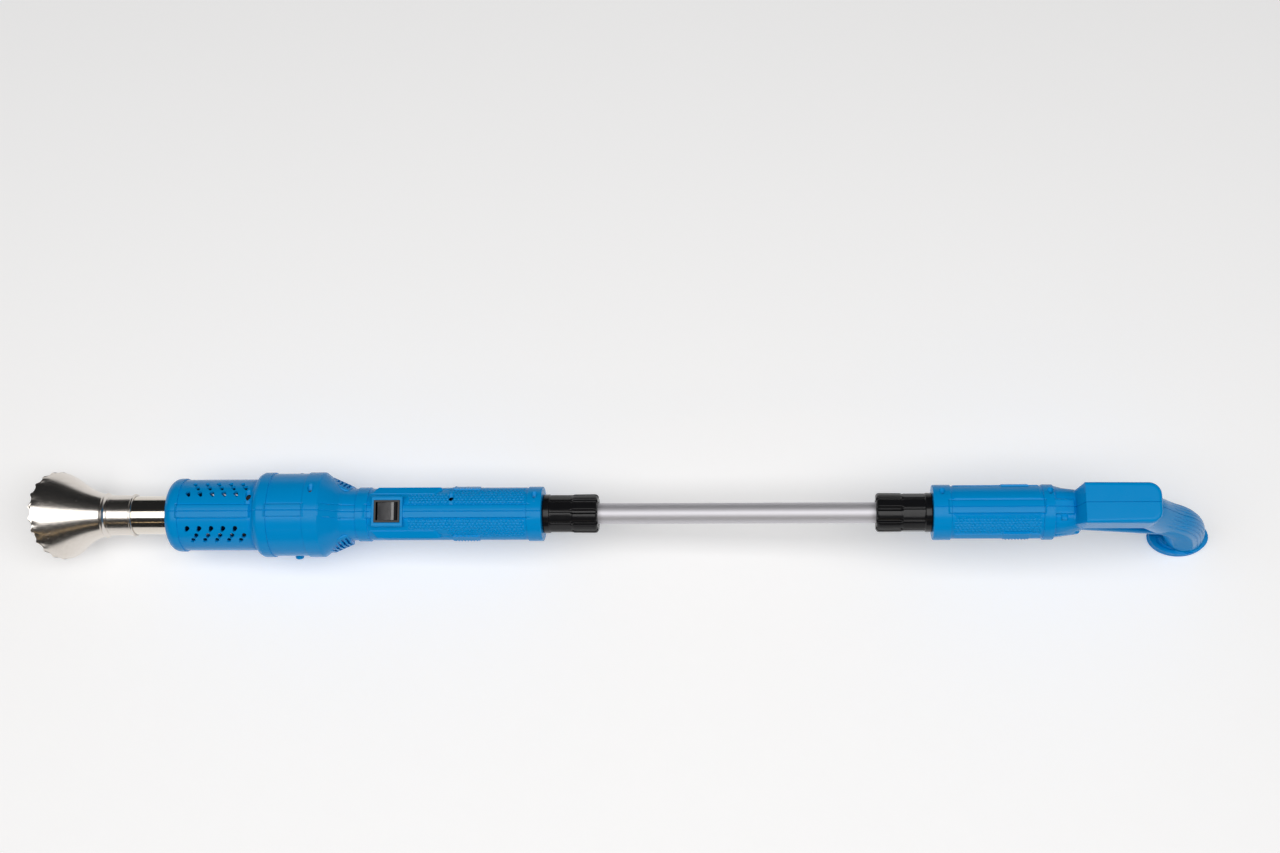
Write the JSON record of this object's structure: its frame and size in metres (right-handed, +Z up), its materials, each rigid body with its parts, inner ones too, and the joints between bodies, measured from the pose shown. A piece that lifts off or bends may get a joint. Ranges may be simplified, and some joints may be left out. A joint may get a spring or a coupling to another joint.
{
  "type": "hot-air weed burner",
  "caption": "Electric hot-air weed burner: flared steel nozzle on a vented heater and fan head, telescopic tube with two clamping collars, pistol-grip handle.",
  "frame": {"origin": "centre of the flat underside of the handle's foot", "axes": "+X along the wand from the nozzle to the handle, level; +Z up, square to the foot; +Y to the right of a user who faces the nozzle"},
  "size_m": [1.0732, 0.0804, 0.1504],
  "materials": {
    "blue_plastic": "satin",
    "black_plastic": "fine grain",
    "grey_plastic": "fine grain",
    "nozzle_metal": "polished nickel",
    "tube_aluminium": "satin anodised",
    "bright_steel": "bright",
    "bronze": "sintered",
    "copper": "wound wire",
    "magnet": "ground ferrite",
    "ceramic": "unglazed ceramic and mica",
    "board": "circuit board",
    "cable_rubber": "satin",
    "switch_plastic": "gloss"
  },
  "bodies": {
    "head": {"housing_left": "blue_plastic", "housing_right": "blue_plastic", "housing_screws": "bright_steel", "heater_tube": "nozzle_metal", "heater_former": "ceramic", "heating_wire": "bright_steel", "mica_sleeve": "ceramic", "thermal_cutout": "bright_steel", "air_funnel": "grey_plastic", "motor_can": "bright_steel", "motor_magnets": "magnet", "motor_end_cap": "black_plastic", "front_bearing": "bronze", "rear_bearing": "bronze", "motor_cradle": "grey_plastic", "fan_shroud": "grey_plastic", "control_board": "board", "switch_body": "switch_plastic", "switch_bezel": "black_plastic", "head_leads": "cable_rubber", "lower_button_springs": "bright_steel", "lower_collet": "grey_plastic"},
    "nozzle": {"nozzle_bell": "nozzle_metal", "nozzle_neck": "nozzle_metal"},
    "rotor": {"motor_shaft": "bright_steel", "motor_armature": "copper", "motor_commutator": "copper", "fan_wheel": "black_plastic"},
    "rocker": {"switch_rocker": "switch_plastic"},
    "lower_left_button": {"lower_button_left": "blue_plastic"},
    "lower_right_button": {"lower_button_right": "blue_plastic"},
    "lower_nut": {"lower_collar": "black_plastic", "lower_wiper": "cable_rubber"},
    "pole": {"extension_tube": "tube_aluminium", "tube_bush_front": "grey_plastic", "tube_bush_rear": "grey_plastic", "inner_cable": "cable_rubber"},
    "handle": {"handle_left": "blue_plastic", "handle_right": "blue_plastic", "handle_screws": "bright_steel", "upper_collet": "grey_plastic", "upper_button_springs": "bright_steel", "terminal_block": "ceramic", "handle_leads": "cable_rubber", "foot_cap": "blue_plastic", "cable_inlet": "cable_rubber"},
    "upper_nut": {"upper_collar": "black_plastic", "upper_wiper": "cable_rubber"},
    "upper_left_button": {"upper_button_left": "blue_plastic"},
    "upper_right_button": {"upper_button_right": "blue_plastic"}
  },
  "joints": [
    {"name": "nozzle_slide", "type": "slide", "parent": "head", "child": "nozzle", "axis": [-0.9973, 0, -0.0736], "range_m": [0, 0.03]},
    {"name": "fan_spin", "type": "hinge", "parent": "head", "child": "rotor", "pos_m": [-0.8129, 0, 0.05434], "axis": [0.9973, 0, 0.0736], "continuous": true},
    {"name": "switch_rock", "type": "hinge", "parent": "head", "child": "rocker", "pos_m": [-0.72476, -0.00202, 0.08009], "axis": [-0.0077, 0.9945, 0.1042], "range_deg": [0, 14]},
    {"name": "lower_left_press", "type": "slide", "parent": "head", "child": "lower_left_button", "axis": [-0.0077, 0.9945, 0.1042], "range_m": [0, 0.0022], "stiffness_N_per_m": 900, "springref_m": -0.003},
    {"name": "lower_right_press", "type": "slide", "parent": "head", "child": "lower_right_button", "axis": [0.0077, -0.9945, -0.1042], "range_m": [0, 0.0022], "stiffness_N_per_m": 900, "springref_m": -0.003},
    {"name": "lower_nut_turn", "type": "hinge", "parent": "head", "child": "lower_nut", "pos_m": [-0.58622, 0, 0.07107], "axis": [0.9973, 0, 0.0736], "range_deg": [0, 120]},
    {"name": "pole_slide", "type": "slide", "parent": "head", "child": "pole", "axis": [-0.9973, 0, -0.0736], "range_m": [0, 0.06]},
    {"name": "handle_turn", "type": "hinge", "parent": "pole", "child": "handle", "pos_m": [-0.24295, 0, 0.09639], "axis": [0.9973, 0, 0.0736], "range_deg": [-90, 90]},
    {"name": "upper_nut_turn", "type": "hinge", "parent": "handle", "child": "upper_nut", "pos_m": [-0.24295, 0, 0.09639], "axis": [0.9973, 0, 0.0736], "range_deg": [0, 120]},
    {"name": "upper_left_press", "type": "slide", "parent": "handle", "child": "upper_left_button", "axis": [0, 1, 0], "range_m": [0, 0.0022], "stiffness_N_per_m": 900, "springref_m": -0.003},
    {"name": "upper_right_press", "type": "slide", "parent": "handle", "child": "upper_right_button", "axis": [0, -1, 0], "range_m": [0, 0.0022], "stiffness_N_per_m": 900, "springref_m": -0.003}
  ]
}
